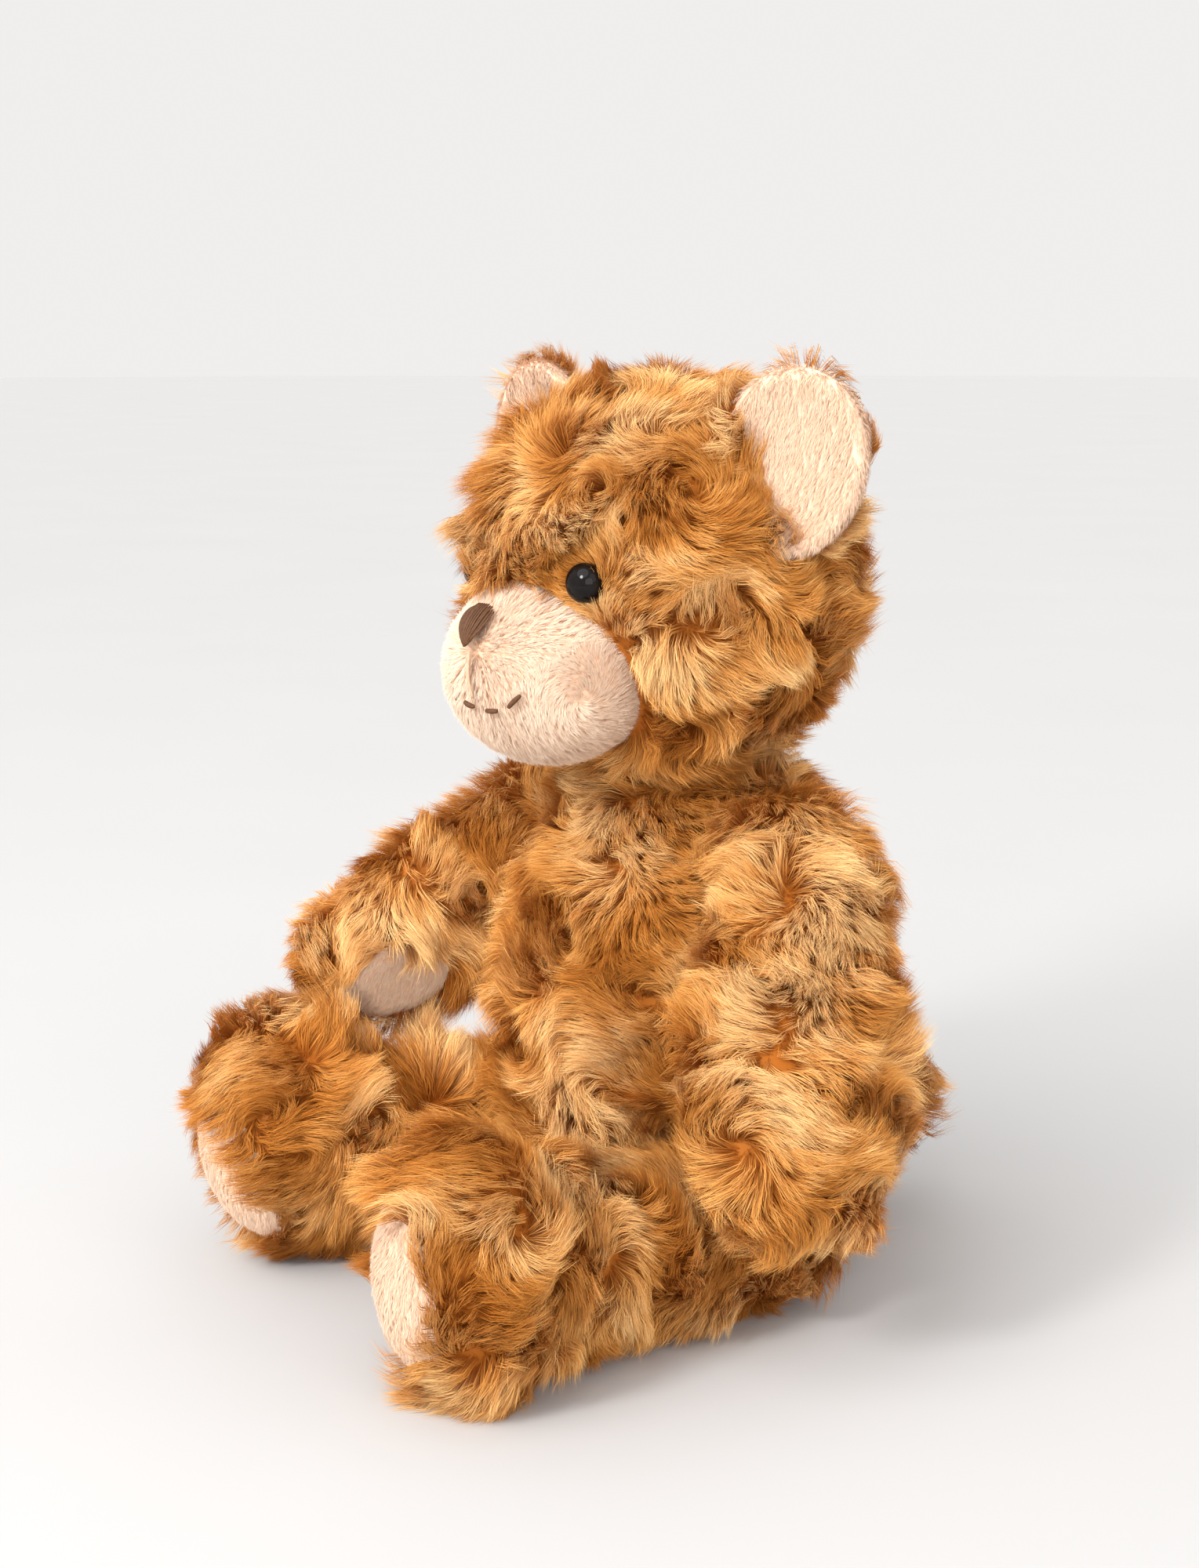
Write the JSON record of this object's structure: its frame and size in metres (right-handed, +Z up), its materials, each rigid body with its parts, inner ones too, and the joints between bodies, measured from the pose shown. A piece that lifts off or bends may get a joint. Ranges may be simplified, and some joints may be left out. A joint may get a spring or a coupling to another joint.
{
  "type": "jointed teddy bear",
  "caption": "Seated plush teddy bear with curly golden-brown fur, cream muzzle, ears and pads, stitched nose and mouth, and jointed head, arms and legs.",
  "frame": {"origin": "centre of the flat seat under the body, on the floor", "axes": "+Z up, the body faces -Y, +X is the bear's own left"},
  "size_m": [0.1838, 0.1865, 0.2247],
  "materials": {
    "brown_plush": "deep swirled pile with a satin sheen, lighter at the tips",
    "cream_plush": "short soft pile",
    "filling": "loose white fibre",
    "eye_black": "polished",
    "brown_thread": "satin thread",
    "tan_thread": "sewing thread close to the colour of the pile",
    "joint_plastic": "moulded, matt",
    "lock_steel": "plated"
  },
  "bodies": {
    "body": {"torso_skin": "brown_plush", "torso_stuffing": "filling", "tail_skin": "brown_plush", "tail_stuffing": "filling", "neck_washer": "joint_plastic", "shoulder_washer_left": "joint_plastic", "shoulder_washer_right": "joint_plastic", "hip_washer_left": "joint_plastic", "hip_washer_right": "joint_plastic"},
    "head": {"head_skin": "brown_plush", "head_stuffing": "filling", "muzzle_skin": "cream_plush", "muzzle_stuffing": "filling", "nose_embroidery": "brown_thread", "nose_seam": "tan_thread", "mouth_stitch_1": "brown_thread", "mouth_stitch_2": "brown_thread", "mouth_stitch_3": "brown_thread", "mouth_stitch_4": "brown_thread", "mouth_stitch_5": "brown_thread", "eye_left": "eye_black", "eye_right": "eye_black", "eye_washer_left": "joint_plastic", "eye_washer_right": "joint_plastic", "ear_outer_left": "brown_plush", "ear_outer_right": "brown_plush", "ear_inner_left": "cream_plush", "ear_inner_right": "cream_plush", "neck_disc": "joint_plastic", "neck_lock_ring": "lock_steel"},
    "arm_left": {"arm_skin_left": "brown_plush", "paw_pad_left": "cream_plush", "arm_stuffing_left": "filling", "shoulder_disc_left": "joint_plastic", "shoulder_lock_ring_left": "lock_steel"},
    "leg_left": {"leg_skin_left": "brown_plush", "sole_pad_left": "cream_plush", "leg_stuffing_left": "filling", "hip_disc_left": "joint_plastic", "hip_lock_ring_left": "lock_steel"},
    "arm_right": {"arm_skin_right": "brown_plush", "paw_pad_right": "cream_plush", "arm_stuffing_right": "filling", "shoulder_disc_right": "joint_plastic", "shoulder_lock_ring_right": "lock_steel"},
    "leg_right": {"leg_skin_right": "brown_plush", "sole_pad_right": "cream_plush", "leg_stuffing_right": "filling", "hip_disc_right": "joint_plastic", "hip_lock_ring_right": "lock_steel"}
  },
  "joints": [
    {"name": "neck_swivel", "type": "hinge", "parent": "body", "child": "head", "pos_m": [0, -0.004, 0.128], "axis": [0, 0, 1], "range_deg": [-65, 55]},
    {"name": "shoulder_left", "type": "hinge", "parent": "body", "child": "arm_left", "pos_m": [0.039, -0.004, 0.1], "axis": [-0.866, 0, -0.5], "range_deg": [-70, 60]},
    {"name": "shoulder_right", "type": "hinge", "parent": "body", "child": "arm_right", "pos_m": [-0.039, -0.004, 0.1], "axis": [-0.866, 0, 0.5], "range_deg": [-95, 35]},
    {"name": "hip_left", "type": "hinge", "parent": "body", "child": "leg_left", "pos_m": [0.0235, -0.008, 0.022], "axis": [1, 0, 0], "range_deg": [-10, 85]},
    {"name": "hip_right", "type": "hinge", "parent": "body", "child": "leg_right", "pos_m": [-0.0235, -0.008, 0.022], "axis": [1, 0, 0], "range_deg": [-7, 88]}
  ]
}
